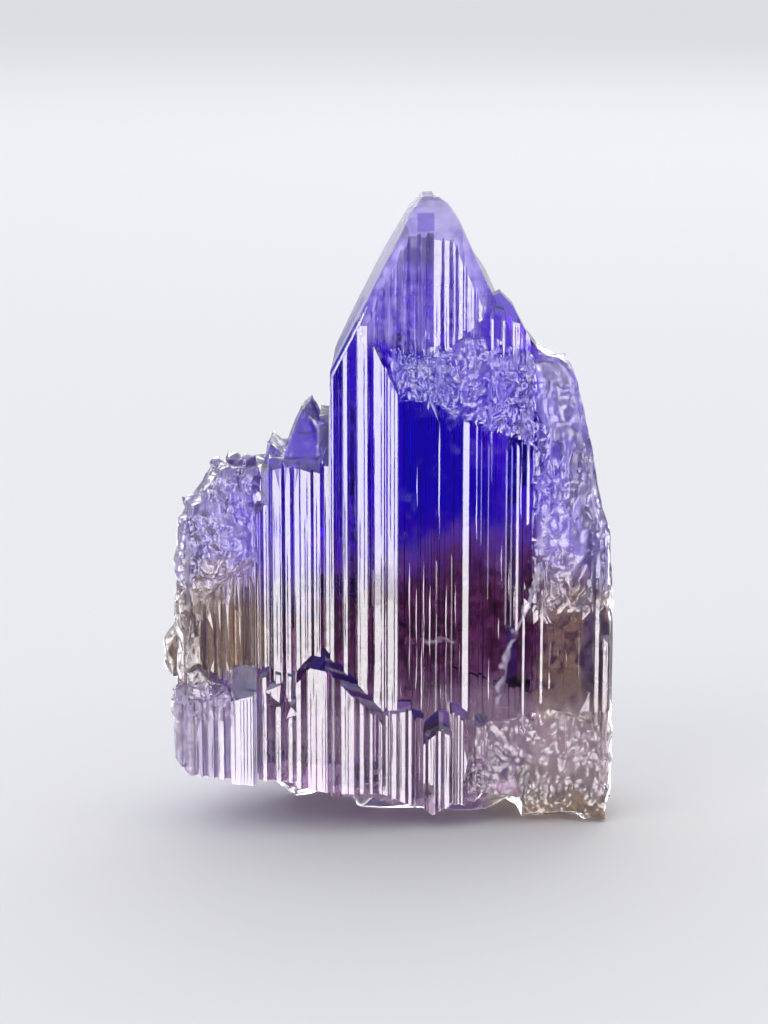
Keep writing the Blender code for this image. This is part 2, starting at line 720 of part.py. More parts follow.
def tidy(form):
    """Flattens the foot where it stands, and clears the slivers that the union leaves."""
    cut(form, (0.0, 0.0, 0.0), (0.0, 0.0, -1.0))
    bmesh.ops.remove_doubles(form, verts=form.verts, dist=0.004)
    bmesh.ops.dissolve_degenerate(form, edges=form.edges, dist=0.004)
    bmesh.ops.dissolve_limit(form, angle_limit=math.radians(0.6), verts=form.verts, edges=form.edges)
    bmesh.ops.triangulate(form, faces=form.faces)
    bmesh.ops.recalc_face_normals(form, faces=form.faces)


def stand_on_origin(form):
    """Moves the crystal so that the origin is under the middle of its outline."""
    xs = [vert.co.x for vert in form.verts]
    ys = [vert.co.y for vert in form.verts]
    zs = [vert.co.z for vert in form.verts]
    shift = ((min(xs) + max(xs)) / -2.0, (min(ys) + max(ys)) / -2.0, -min(zs))
    bmesh.ops.translate(form, verts=form.verts, vec=shift)


def tanzanite_material():
    finish = bpy.data.materials.new("tanzanite")
    finish.use_nodes = True
    shader = finish.node_tree.nodes["Principled BSDF"]
    shader.inputs["Base Color"].default_value = (0.12, 0.06, 0.62, 1.0)
    shader.inputs["Roughness"].default_value = 0.12
    shader.inputs["Metallic"].default_value = 0.0
    shader.inputs["IOR"].default_value = 1.69
    return finish


def build():
    clear_scene()
    forms = spire()
    for make in (
        window_ribs,
        shoulder,
        right_flank,
        etched_band,
        left_column,
        left_flank,
        forward_crystals,
        foot_columns,
        broken_foot,
        back_crystals,
    ):
        forms += make()
    whole = grown_together(forms)
    tidy(whole)
    fill_pockets(whole)
    stand_on_origin(whole)
    bmesh.ops.scale(whole, vec=(MM, MM, MM), verts=whole.verts)
    crystal = as_object(NODE, whole)
    crystal.data.materials.append(tanzanite_material())


build()
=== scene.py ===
# %% [markdown]
# # A rough tanzanite crystal
# This lesson dresses one natural crystal: a see-through, blue-violet spire with fluted faces, brown lower
# down, and etched, frosty flanks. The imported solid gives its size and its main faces. Here it gets what a
# gem needs: fine growth lines, glittering etch grains, colour that changes from zone to zone, and light
# that shows all three.

import math
import random

import bmesh
import bpy
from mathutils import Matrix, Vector, noise


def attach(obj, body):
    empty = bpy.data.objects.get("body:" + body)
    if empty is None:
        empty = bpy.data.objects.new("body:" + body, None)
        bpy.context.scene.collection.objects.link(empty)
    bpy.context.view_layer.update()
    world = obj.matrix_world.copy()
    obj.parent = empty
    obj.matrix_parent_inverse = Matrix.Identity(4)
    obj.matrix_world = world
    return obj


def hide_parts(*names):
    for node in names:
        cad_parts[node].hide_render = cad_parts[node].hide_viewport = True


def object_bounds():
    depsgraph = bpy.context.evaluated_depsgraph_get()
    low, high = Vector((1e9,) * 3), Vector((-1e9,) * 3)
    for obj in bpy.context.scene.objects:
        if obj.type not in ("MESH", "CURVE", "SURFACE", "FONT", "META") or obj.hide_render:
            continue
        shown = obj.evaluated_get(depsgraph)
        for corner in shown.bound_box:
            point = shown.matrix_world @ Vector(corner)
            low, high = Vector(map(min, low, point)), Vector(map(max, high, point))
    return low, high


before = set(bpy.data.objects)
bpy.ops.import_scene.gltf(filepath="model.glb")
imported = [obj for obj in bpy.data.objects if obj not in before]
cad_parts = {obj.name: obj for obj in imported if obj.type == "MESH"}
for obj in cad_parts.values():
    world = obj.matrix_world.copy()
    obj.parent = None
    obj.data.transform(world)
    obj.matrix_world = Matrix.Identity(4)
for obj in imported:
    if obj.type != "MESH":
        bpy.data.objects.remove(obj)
cad_box = [list(corner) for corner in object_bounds()]
print("CAD box in mm:", [[round(1000 * value, 2) for value in corner] for corner in cad_box])

# %% [markdown]
# ## The view
# A macro photograph of a small stone is taken with a long lens from close by. The camera stands 180 mm away
# and looks down by 12.6 degrees, which is why the ledges round the foot show their tops. All lengths in this
# lesson are worked out in millimetres and turned into metres at the end, because Blender's unit here is the
# metre.

# %% Place the camera
MM = 0.001
DISTANCE = 180.0
PITCH = math.radians(12.6)
AIM = Vector((-0.22, 0.16, 18.7))

lens = bpy.data.cameras.new("macro_lens")
lens.lens = 103.15
lens.sensor_width = 36.0
lens.clip_start = 0.01
lens.clip_end = 20.0
camera = bpy.data.objects.new("macro_camera", lens)
bpy.context.scene.collection.objects.link(camera)
camera.location = (AIM + DISTANCE * Vector((0.0, -math.cos(PITCH), math.sin(PITCH)))) * MM
camera.rotation_euler = (math.radians(90.0) - PITCH, 0.0, 0.0)
bpy.context.scene.camera = camera
print("camera at", [round(value, 4) for value in camera.location])

# %% [markdown]
# ## A copy of the solid to work on
# The solid's mesh is loose triangles, so its copy is merged first. Then the triangles that lie in one plane
# are joined to the crystal's real faces, which makes the later cuts clean.

# %% Copy and merge
SAME_POINT = 0.0005
SAME_PLANE = math.radians(0.15)

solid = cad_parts["tanzanite_crystal"]
crystal = bmesh.new()
crystal.from_mesh(solid.data)
bmesh.ops.scale(crystal, vec=(1 / MM, 1 / MM, 1 / MM), verts=crystal.verts)
bmesh.ops.remove_doubles(crystal, verts=crystal.verts, dist=SAME_POINT)
bmesh.ops.dissolve_limit(crystal, angle_limit=SAME_PLANE, verts=crystal.verts, edges=crystal.edges)
print("faces after joining coplanar triangles:", len(crystal.faces))

# %% [markdown]
# ## Where the skin is etched
# Some of the skin was eaten by hot fluids: the flank on the right, the hump on the left, a ragged band over
# the deep window, and the foot. A painted mask could say where, but the places are simple boxes with soft
# edges, so one function tells how strongly, from 0 to 1. The mesh uses it to choose where to roughen, and
# keeps the answer as an attribute for the shader.

# %% A map of the etched zones
def between(value, low, high):
    """Rises from 0 at low to 1 at high."""
    return min(1.0, max(0.0, (value - low) / (high - low)))


def inside(value, low, high, soft):
    """1 between low and high, with a soft edge outside them."""
    return between(value, low - soft, low) * between(-value, -high - soft, -high)


def band_over_window(spot):
    """The band's ends are ragged, because each lath above it was eaten away to a height of its own."""
    x, y, z = spot
    top = 29.9 + 0.8 * noise.cell(Vector((x / 0.42, 0.5, 0.5)))
    bottom = 26.9 + 0.5 * noise.cell(Vector((x / 0.3, 7.5, 0.5)))
    tall = between(z + 0.42 * x, bottom, bottom + 0.5) * between(-z, -top, 0.5 - top)
    return tall * inside(x, 0.4, 8.5, 0.4) * between(-y, 3.4, 3.7)


def etched(spot):
    """How strongly the skin is eaten at a spot, from 0 to 1."""
    x, y, z = spot
    right_flank = between(x, 8.6, 9.1) * max(between(z, 12.4, 14.0), between(-z, -7.4, -6.6))
    left_hump = between(-x, 7.6, 8.1) * between(z - 0.9 * (x + 11.4), 12.2, 13.4)
    left_edge = between(-x, 11.4, 11.9)
    foot = between(x, 4.7, 5.2) * between(-z, -7.0, -6.2) * between(-y, 2.5, 3.0)
    broken_end = between(-z, -1.5, -1.2)
    lobes = inside(x, -12.9, -9.4, 0.3) * inside(z, 7.2, 9.9, 0.5) * between(-y, 4.2, 4.6)
    small_tip = inside(x, -7.5, -3.9, 0.1) * between(z, 22.3, 22.6)
    return max(right_flank, left_hump, left_edge, band_over_window(spot), foot, broken_end, lobes, small_tip)


print("etched on the right flank:", etched(Vector((11.0, -3.0, 20.0))))
print("etched on the window:", etched(Vector((5.0, -5.0, 20.0))))

# %% [markdown]
# ## Growth lines
# Tanzanite's faces are ruled with fine lines along its length. They could be painted on as a bump, but they
# are real steps that mirror the light one by one, so they are cut in the mesh. First every upright face is
# cut in level rows, so that a line can change along its length.

# %% Cut the upright faces in rows
FRONT = (1, -1)
BACK = (1, 1)
RIGHT = (0, 1)
LEFT = (0, -1)
TOUCH = 0.004
ROW_GAP = (0.7, 1.6)


def looks(face, way):
    """Whether an upright face looks along X or Y, to the plus or the minus side."""
    return face.normal[way[0]] * way[1] > 0.8 and abs(face.normal.z) < 0.3


def slice_faces(form, faces, axis, place):
    """Cuts the faces that a plane across an axis crosses. Gives the faces now, and the new line."""
    crossed = []
    for face in faces:
        values = [vert.co[axis] for vert in face.verts]
        if min(values) < place - TOUCH and max(values) > place + TOUCH:
            crossed.append(face)
    if not crossed:
        return faces, []
    edges = {edge for face in crossed for edge in face.edges}
    verts = {vert for face in crossed for vert in face.verts}
    point = Vector((0.0, 0.0, 0.0))
    point[axis] = place
    normal = Vector((0.0, 0.0, 0.0))
    normal[axis] = 1.0
    geom = [*verts, *edges, *crossed]
    cut = bmesh.ops.bisect_plane(form, geom=geom, dist=1e-4, plane_co=point, plane_no=normal)
    halves = {item for item in cut["geom"] if isinstance(item, bmesh.types.BMFace)}
    return (faces - set(crossed)) | halves, cut["geom_cut"]


def places_between(low, high, gap, chance):
    """Places from low to high, with gaps drawn between the two values of gap."""
    place = low + chance.uniform(*gap)
    while place < high:
        yield place
        place += chance.uniform(*gap)


upright = {face for face in crystal.faces for way in (FRONT, BACK, RIGHT, LEFT) if looks(face, way)}
for level in places_between(2.0, 37.6, ROW_GAP, random.Random(3)):
    upright, _ = slice_faces(crystal, upright, 2, level)
print("faces after the rows:", len(crystal.faces))

# %% [markdown]
# ### One line at a time
# A line on the real crystal is a hair-thin step. Here it is three cuts side by side, and the middle one is
# pushed in for a groove or out for a rib. The push changes from row to row, so the line fades in and out.
# The pushes are only noted here and made when all the cuts are done, so that no cut meets a bent face.

# %% Rule one zone
pushes = {}


def rule(way, across, up, gap, kind, seed, length):
    """Rules lines in the faces of one zone.

    across and up are the ends of the zone, gap is how far apart lines are, and length what share of the
    zone's height a line has. kind says how far a line spreads to its left and right, and how far its middle
    moves.
    """
    reach, push = kind
    chance = random.Random(seed)
    axis = 1 - way[0]
    zone = set()
    for face in crystal.faces:
        if looks(face, way):
            middle = face.calc_center_median()
            in_zone = across[0] < middle[axis] < across[1] and up[0] < middle.z < up[1]
            if in_zone and etched(middle) < 0.5:
                zone.add(face)
    count = 0
    for place in places_between(*across, gap, chance):
        tall = (up[1] - up[0]) * chance.uniform(*length)
        start = chance.uniform(up[0], up[1] - tall)
        column = {face for face in zone if start < face.calc_center_median().z < start + tall}
        rest = zone - column
        for offset, share in ((-reach[0], 0.0), (0.0, push), (reach[1], 0.0)):
            column, line = slice_faces(crystal, column, axis, place + offset)
            edges = {item for item in line if isinstance(item, bmesh.types.BMEdge)}
            for item in line:
                if share and isinstance(item, bmesh.types.BMVert):
                    if sum(edge in edges for edge in item.link_edges) > 1:
                        swell = noise.noise(Vector((place * 5.0, item.co.y, item.co.z * 0.35)))
                        pushes[item] = (way, share * (0.85 + 0.9 * swell))
        zone = rest | column
        count += 1
    return count


print("rows are", ROW_GAP[0], "to", ROW_GAP[1], "mm tall")

# %% [markdown]
# ### Laths and window
# The laths are broad mirrors with hair-thin grooves between them. The window is the other way round: a dark,
# deep face with a few hair-thin ribs. A rib's left side is the wide one, so that it faces the same light as
# a lath. The back and the sides get plain grooves.

# %% Rule the crystal's faces
GROOVE = ((0.035, 0.03), -0.036)
SOFT_GROOVE = ((0.035, 0.03), -0.034)
RIB = ((0.06, 0.02), 0.012)

lines = rule(FRONT, (-3.6, 0.66), (6.8, 31.5), (0.12, 0.42), GROOVE, 11, (0.35, 1.0))
lines += rule(FRONT, (-8.1, -3.6), (7.4, 22.6), (0.12, 0.36), GROOVE, 12, (0.35, 1.0))
lines += rule(FRONT, (-13.2, 4.0), (0.6, 10.8), (0.14, 0.46), SOFT_GROOVE, 13, (0.5, 1.0))
lines += rule(FRONT, (-1.0, 8.7), (27.5, 36.3), (0.11, 0.30), SOFT_GROOVE, 14, (0.3, 0.9))
lines += rule(FRONT, (0.8, 8.7), (6.6, 27.0), (0.30, 1.0), RIB, 15, (0.12, 0.5))
lines += rule(FRONT, (0.8, 8.7), (6.8, 17.0), (0.3, 0.9), RIB, 25, (0.2, 0.8))
lines += rule(FRONT, (8.7, 13.7), (6.4, 13.2), (0.35, 0.9), RIB, 16, (0.3, 0.9))
lines += rule(FRONT, (-11.8, -8.0), (7.6, 16.0), (0.22, 0.7), RIB, 17, (0.3, 0.9))
lines += rule(BACK, (-11.0, 11.0), (1.2, 34.5), (0.16, 0.6), GROOVE, 18, (0.3, 0.9))
lines += rule(RIGHT, (-3.4, 5.2), (3.0, 34.0), (0.25, 0.7), SOFT_GROOVE, 19, (0.3, 0.9))
lines += rule(LEFT, (-5.4, 5.2), (3.0, 34.0), (0.25, 0.7), SOFT_GROOVE, 20, (0.3, 0.9))
print("lines:", lines, "faces after ruling:", len(crystal.faces))

# %% [markdown]
# ### Faces that aren't quite flat
# A grown face is never a perfect mirror. The points between the lines move by a few thousandths of a
# millimetre along a slow noise, which is enough to make a mirrored card waver. Then all the noted pushes are
# made.

# %% Push the lines and bow the faces
BOW = 0.004

for face in crystal.faces:
    for way in (FRONT, BACK):
        if looks(face, way):
            for vert in face.verts:
                if vert not in pushes:
                    bend = noise.noise(Vector((vert.co.x * 0.8, vert.co.y, vert.co.z * 0.12)))
                    pushes[vert] = (way, BOW * bend)
for vert, (way, push) in pushes.items():
    vert.co[way[0]] += push * way[1]
print("points pushed:", len(pushes))

# %% [markdown]
# ## Etch grains
# The etched skin is a mass of soft, glassy grains, drawn out upright. Each mirrors the lights as one small
# point, which is what glitters. A bump would glitter too, but would leave the outline smooth, so the grains
# are real shapes, and the skin is cut finer for them first. Grains are small in the band over the window and
# large on the right flank. The back, which is seldom looked at, has larger ones, and so needs fewer faces.

# %% Cut the etched skin finer
SMALL_GRAIN = 0.42
GRAIN = 0.56
LARGE_GRAIN = 0.72
BEHIND = 1.6


def grain_size(spot):
    """How wide the grains are at a spot, in mm."""
    if band_over_window(spot) > 0.0:
        return SMALL_GRAIN
    front = LARGE_GRAIN if spot.x > 8.5 and spot.z > 8.0 else GRAIN
    return front if spot.y < 0.5 else BEHIND * front


def cut_finer(form, share):
    """Halves the edges in the etched zones that are long beside a grain."""
    edges = []
    for edge in form.edges:
        middle = (edge.verts[0].co + edge.verts[1].co) / 2.0
        if edge.calc_length() > share * grain_size(middle) and etched(middle) > 0.4:
            edges.append(edge)
    bmesh.ops.subdivide_edges(form, edges=edges, cuts=1, use_grid_fill=True)
    bmesh.ops.triangulate(form, faces=[face for face in form.faces if len(face.verts) > 4])


bmesh.ops.triangulate(crystal, faces=[face for face in crystal.faces if len(face.verts) > 4])
for share in (0.9, 0.6, 0.45):
    cut_finer(crystal, share)
print("faces after cutting finer:", len(crystal.faces))

# %% [markdown]
# ### Round each grain
# A Voronoi pattern divides the skin into grains and tells how far a point lies from the middle of its own.
# The height falls with the square of that, which makes a dome with a crease round it. Each dome leans a way
# of its own, so that neighbours catch different lights. Some patches are calmer than others, as on the
# stone.

# %% Move the points of the etched skin
DRAWN_OUT = 1.6
STEEP = 0.45
GENTLE = 0.3
LEAN = 0.66
CALM_LUMP = 2.2


def grain_height(spot, size):
    """How far the skin stands out at a spot: a rounded grain that leans its own way."""
    drawn = Vector((spot.x, spot.y, spot.z / DRAWN_OUT)) / size
    near, seeds = noise.voronoi(drawn)
    lean = noise.cell_vector(seeds[0] * 9.0) - Vector((0.5, 0.5, 0.5))
    depth = STEEP if size < 0.5 else GENTLE
    return size * depth * (0.22 - near[0] ** 2 + LEAN * lean.dot(drawn - seeds[0]))


crystal.normal_update()
moves = []
for vert in crystal.verts:
    strength = etched(vert.co) * between(vert.co.z, 0.05, 0.6)
    if strength > 0.05:
        calm = between(noise.noise(vert.co / CALM_LUMP), -0.15, 0.2)
        strength *= 0.45 + 0.55 * calm
        moves.append((vert, vert.normal * strength * grain_height(vert.co, grain_size(vert.co))))
for vert, move in moves:
    vert.co += move
print("points moved on the etched skin:", len(moves))

# %% [markdown]
# ## What each point remembers
# Colour and haze on the stone drift slowly, and its skin has streaks along the growth lines. Noise nodes in
# the shader could draw both, but each is worked out again for every ray. These two are broad enough to be
# kept on the mesh's points, which costs next to nothing. How etched a point is goes with them.

# %% Keep numbers on the points
OCTAVES = 3


def soft_noise(spot, stretch):
    """Cloudy noise from about -0.5 to 0.5. stretch is in lumps for each millimetre along x, y and z."""
    place = Vector((spot.x * stretch[0], spot.y * stretch[1], spot.z * stretch[2]))
    share = 1.0
    total = 0.0
    weight = 0.0
    for octave in range(OCTAVES):
        total += share * noise.noise(place * 2.0**octave)
        weight += share
        share *= 0.6
    return 0.5 * total / weight


bmesh.ops.triangulate(crystal, faces=crystal.faces)
etched_layer = crystal.verts.layers.float.new("etched")
drift_layer = crystal.verts.layers.float.new("drift")
streak_layer = crystal.verts.layers.float.new("streak")
for vert in crystal.verts:
    vert[etched_layer] = etched(vert.co)
    vert[drift_layer] = soft_noise(vert.co, (0.32, 0.32, 0.32))
    vert[streak_layer] = soft_noise(vert.co, (3.2, 1.0, 0.22))
print("points with numbers:", len(crystal.verts))

# %% [markdown]
# ## The finished mesh
# The etched skin is shaded smooth between its sharp edges, as worn glass is. The ruled faces stay flat. The
# upward tops of the ledges round the foot are marked too: they look into the stone, so they get painted
# shade.

# %% Finish the mesh
SHARP = math.radians(30.0)

bmesh.ops.scale(crystal, vec=(MM, MM, MM), verts=crystal.verts)
mesh = bpy.data.meshes.new("tanzanite")
crystal.to_mesh(mesh)
crystal.free()
mesh.set_sharp_from_angle(angle=SHARP)
etched_at = mesh.attributes["etched"].data
for face in mesh.polygons:
    face.use_smooth = min(etched_at[corner].value for corner in face.vertices) > 0.1
# Upward faces of the front ledges are marked for painted shade, because they look into the stone and seem
# darker.
ledge_shade_faces = mesh.attributes.new("ledge", "FLOAT", "FACE")
for face in mesh.polygons:
    in_front = face.center.y < -2.6 * MM and 4.0 * MM < face.center.z < 12.5 * MM
    if in_front and 0.35 < face.normal.z < 0.97:
        if min(etched_at[corner].value for corner in face.vertices) < 0.5:
            ledge_shade_faces.data[face.index].value = 1.0
gem = bpy.data.objects.new("tanzanite", mesh)
bpy.context.scene.collection.objects.link(gem)
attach(gem, "root")
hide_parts("tanzanite_crystal")
print("triangles:", len(mesh.polygons))


# %% [markdown]
# ## Sums with sockets
# A shader is a set of sums on the place of a point. They read best as sums, so a small class wraps a socket
# and turns +, - and * into Math nodes. Every other node comes from one method.

# %% A recipe for shaders
class Wire:
    """A socket that takes part in sums."""

    def __init__(self, recipe, socket):
        self.recipe = recipe
        self.socket = socket

    def _math(self, operation, first, second):
        return self.recipe.node("ShaderNodeMath", {"operation": operation}, {0: first, 1: second})

    def __add__(self, other):
        return self._math("ADD", self, other)

    def __radd__(self, other):
        return self._math("ADD", other, self)

    def __sub__(self, other):
        return self._math("SUBTRACT", self, other)

    def __rsub__(self, other):
        return self._math("SUBTRACT", other, self)

    def __mul__(self, other):
        return self._math("MULTIPLY", self, other)

    def __rmul__(self, other):
        return self._math("MULTIPLY", other, self)

    def larger(self, other):
        return self._math("MAXIMUM", self, other)

    def size(self):
        return self._math("ABSOLUTE", self, 0.0)


class Recipe:
    """The node tree of one material, or of the world."""

    def __init__(self, owner):
        owner.use_nodes = True
        self.owner = owner
        self.tree = owner.node_tree
        self.tree.nodes.clear()

    def node(self, kind, settings=None, values=None, out=0):
        """Makes a node, sets it up, fills or links its sockets, and gives one of its outputs."""
        made = self.tree.nodes.new(kind)
        for name, value in (settings or {}).items():
            if name == "stops":
                ramp = made.color_ramp
                while len(ramp.elements) < len(value):
                    ramp.elements.new(1.0)
                for element, (stop, colour) in zip(ramp.elements, value):
                    element.position = stop
                    element.color = colour
            else:
                setattr(made, name, value)
        for name, value in (values or {}).items():
            if isinstance(value, Wire):
                self.tree.links.new(value.socket, made.inputs[name])
            else:
                made.inputs[name].default_value = value
        return Wire(self, made.outputs[out]) if made.outputs else None


gem_recipe = Recipe(bpy.data.materials.new("tanzanite"))
print("nodes in the new recipe:", len(gem_recipe.tree.nodes))

# %% [markdown]
# ## Where colour lies
# Tanzanite is blue-violet where heat has changed it and brown where not, so the colour lies in zones with
# cloudy borders. An image could carry the zones, but they are drawn on Object coordinates in millimetres, so
# that they stay sharp and stay in place. The kept noise and one finer cloud bend the borders.

# %% Places on the crystal
place = gem_recipe.node("ShaderNodeTexCoord", out=3)
place_mm = gem_recipe.node("ShaderNodeVectorMath", {"operation": "SCALE"}, {0: place, 3: 1 / MM})


def axis_of(vector, number):
    """x, y or z of a vector."""
    return gem_recipe.node("ShaderNodeSeparateXYZ", {}, {0: vector}, out=number)


def own(name):
    """A number that the mesh keeps for each of its points or faces."""
    return gem_recipe.node("ShaderNodeAttribute", {"attribute_name": name}, out=2)


def rise(value, low, high):
    """Rises softly from 0 at low to 1 at high."""
    return gem_recipe.node(
        "ShaderNodeMapRange",
        {"interpolation_type": "SMOOTHSTEP"},
        {0: value, 1: low, 2: high, 3: 0.0, 4: 1.0},
    )


def within(value, low, high, soft):
    """1 between low and high, and 0 outside them."""
    away = (value - (low + high) / 2.0).size()
    reach = (high - low) / 2.0
    return 1.0 - rise(away, reach - soft, reach + soft)


x = axis_of(place_mm, 0)
y = axis_of(place_mm, 1)
z = axis_of(place_mm, 2)
cloud_values = {"Vector": place_mm, "Scale": 1.3, "Detail": 1.0, "Roughness": 0.6}
fleck = gem_recipe.node("ShaderNodeTexNoise", {}, cloud_values) - 0.5
drift = own("drift")
streak = own("streak")
x_soft = x + drift * 2.4 + fleck * 0.5
z_soft = z + drift * 5.0 + fleck * 1.2 + streak * 1.6
etch = rise(own("etched"), 0.1, 0.9)
# The ledge tops that are marked for painted shade.
ledge = own("ledge")
print("nodes for places:", len(gem_recipe.tree.nodes))

# %% [markdown]
# ### Colours of the zones
# The colours are those that the eye sees on the stone, from deep blue in the window to brown and mauve at
# the foot. They are given as screen values, which are easy to judge, and turned into the linear numbers that
# light adds up in.

# %% Name the colours
def shade(red, green, blue):
    """A colour as seen on a screen, 0 to 255, in linear numbers."""
    linear = []
    for value in (red, green, blue):
        value /= 255.0
        linear.append(value / 12.92 if value <= 0.04045 else ((value + 0.055) / 1.055) ** 2.4)
    return (*linear, 1.0)


LILAC = shade(184, 164, 232)
PALE = shade(178, 160, 244)
VIOLET = shade(134, 98, 240)
INDIGO = shade(76, 18, 214)
DEEP = shade(26, 0, 180)
PURPLE = shade(104, 64, 168)
# Painted shade for the upward ledge tops.
LEDGE_SHADE = shade(92, 62, 130)
BURGUNDY = shade(112, 54, 92)
DARK_BURGUNDY = shade(54, 12, 38)
MAUVE = shade(162, 128, 142)
OLIVE = shade(158, 130, 88)
SMOKY = shade(142, 104, 84)
CRUST = shade(104, 74, 46)
print("deep blue in linear numbers:", [round(value, 3) for value in DEEP])

# %% [markdown]
# ### The spire and its window
# From the foot up the spire goes mauve, burgundy, purple and blue, and its crown is violet with a pale cap.
# The window is the deepest blue, because there one looks through the whole stone. Each zone is laid over the
# one below it, so the order of the lines is the order of the zones.

# %% Colour the spire
WINDOW = (0.62, 8.9)


def layer(amount, under, over):
    """Lays one colour over another, by an amount from 0 to 1."""
    return gem_recipe.node("ShaderNodeMix", {"data_type": "RGBA"}, {0: amount, 6: under, 7: over}, out=2)


window = within(x, *WINDOW, 0.05)
brown = layer(rise(fleck + streak * 0.6, -0.12, 0.16), BURGUNDY, DARK_BURGUNDY)
blue = layer(window, INDIGO, DEEP)
blue = layer(rise(x_soft + 0.4 * z_soft, 13.0, 17.0) * window, blue, INDIGO)
mottled_z = z_soft - 0.17 * x + fleck * 2.2
spire = layer(rise(mottled_z, 14.0, 16.4), brown, PURPLE)
spire = layer(rise(mottled_z, 16.5, 18.4), spire, blue)
spire = layer(rise(z_soft, 6.8, 9.8), MAUVE, spire)
spire = layer(rise(z_soft + 0.45 * x, 28.4, 31.6), spire, VIOLET)
shoulder = within(x_soft, 5.8, 9.4, 0.4) * within(z_soft, 26.0, 33.4, 1.2)
spire = layer((shoulder * 0.6).larger(etch * rise(z, 20.0, 22.0) * 0.5), spire, INDIGO)
spire = layer(rise(z_soft, 34.6, 36.6), spire, PALE)
print("nodes with the spire:", len(gem_recipe.tree.nodes))

# %% [markdown]
# ### The two sides, the crust and the painted shade on the ledges
# The flank on the right is smoky brown below and lilac above, and so is the hump on the left, where the
# brown leans to olive. A brown crust sticks to the foot at the right. Left and right have soft borders too,
# so the three parts run into each other.

# %% Colour the sides
CRUST_AT = (6.0, 15.0, 0.8)

left = rise(0.0 - x_soft, 7.0, 8.0)
right = rise(x_soft, 8.7, 9.6)
smoke = layer(rise(drift + fleck, -0.02, 0.16), SMOKY, OLIVE)
smoke = layer(rise(0.0 - fleck - streak * 0.4, 0.02, 0.16), smoke, DARK_BURGUNDY)
flank = layer(rise(z_soft, 13.6, 16.4), smoke, LILAC)
flank = layer(rise(z_soft, 5.4, 7.4), MAUVE, flank)
flank = layer(within(x_soft, 8.5, 10.2, 0.7) * within(z_soft, 19.6, 23.4, 1.0), flank, INDIGO)
flank = layer(rise(fleck + drift, -0.16, 0.1) * rise(z, 14.0, 20.0), flank, VIOLET)

hump = layer(rise(z_soft, 13.8, 16.0), OLIVE, LILAC)
hump = layer(rise(z_soft, 8.0, 9.4), layer(0.5, MAUVE, LILAC), hump)
hump = layer(within(x_soft, -9.6, -7.6, 0.8) * within(z_soft, 16.0, 20.6, 1.0), hump, VIOLET)

colour = layer(right, layer(left, spire, hump), flank)
colour = layer(within(x_soft, *CRUST_AT) * (1.0 - rise(z_soft, 1.4, 2.6)), colour, CRUST)
# Painted shade: the upward ledge tops are coloured darker.
colour = layer(ledge, colour, LEDGE_SHADE)
print("nodes with all colours:", len(gem_recipe.tree.nodes))

# %% [markdown]
# ## Veils, specks and a pit's painted shade
# Healed cracks hang in the stone as white veils. One long one forks low on the right, and a small feather
# lies in the brown zone. They could be thin sheets inside the solid, but on the skin of the front they look
# the same and cost less. A veil follows a line of points, whose x a colour ramp holds for each height.

# %% Draw veils
WIDEST = 20.0
VEIL = ((6.42, 6.3), (7.29, 11.0), (9.18, 15.5), (9.51, 17.9), (9.66, 20.6))
BRANCH = ((11.3, 13.4), (10.5, 14.8), (9.18, 15.6))


def veil(points, width):
    """A thin upright veil along a line of (x, z) points. The branch's last point is its join."""
    low, high = points[0][1], points[-1][1]
    stops = []
    for x_at, z_at in points:
        grey = x_at / WIDEST
        stops.append(((z_at - low) / (high - low), (grey, grey, grey, 1.0)))
    share = gem_recipe.node("ShaderNodeMapRange", {}, {0: z, 1: low, 2: high, 3: 0.0, 4: 1.0})
    on_line = gem_recipe.node("ShaderNodeValToRGB", {"stops": stops}, {0: share}) * WIDEST
    away = (x + fleck * 0.9 - on_line).size()
    return (1.0 - rise(away, width * 0.2, width)) * within(z, low, high, 0.2)


front = 1.0 - rise(y, -2.6, -1.8)
fork = veil(VEIL, 0.3).larger(veil(BRANCH, 0.22)) * (1.0 - rise(z, 15.0, 18.5) * 0.4)
feather = (1.0 - rise((z + fleck * 1.4 - 11.65).size(), 0.04, 0.3)) * within(x, 1.1, 4.1, 0.2)
crack = fork.larger(feather * 0.5) * rise(fleck + streak, -0.24, 0.12) * front
print("nodes with the veils:", len(gem_recipe.tree.nodes))

# %% [markdown]
# ### Grains in a corner and a pit in the cap, painted as shade
# Dark grains are caught where the small pointed crystal leaves the column, and a square pit is sunk in the
# cap. Both are far flatter than they are wide, so colour and haze are all that they need. The pit's hollow
# is painted as a darker square of shade.

# %% Draw specks and the pit's painted shade
def speck(at_x, at_z, radius):
    """A small dark grain that sits on the front."""
    away = (x + fleck * 0.6 - at_x).size() + (z + fleck * 0.6 - at_z).size()
    return (1.0 - rise(away, radius * 0.6, radius)) * front


specks = speck(-7.5, 20.6, 0.4).larger(speck(-7.4, 22.3, 0.35))
# Painted shade: the pit's hollow is drawn as a darker, hazier square and not as a real hollow.
pit_shade = within(x, 1.75, 2.75, 0.05) * within(z, 36.5, 37.45, 0.05) * front
print("nodes with the specks:", len(gem_recipe.tree.nodes))

# %% [markdown]
# ## Haze
# A gem this rough isn't clear all over. The foot and the crown are milky, the etched skin is hazy, and the
# crust is nearly solid. One number says how hazy a spot is, and the milky shader is mixed in by it. That
# keeps the clear part truly see-through, which one shader with less transmission would not.

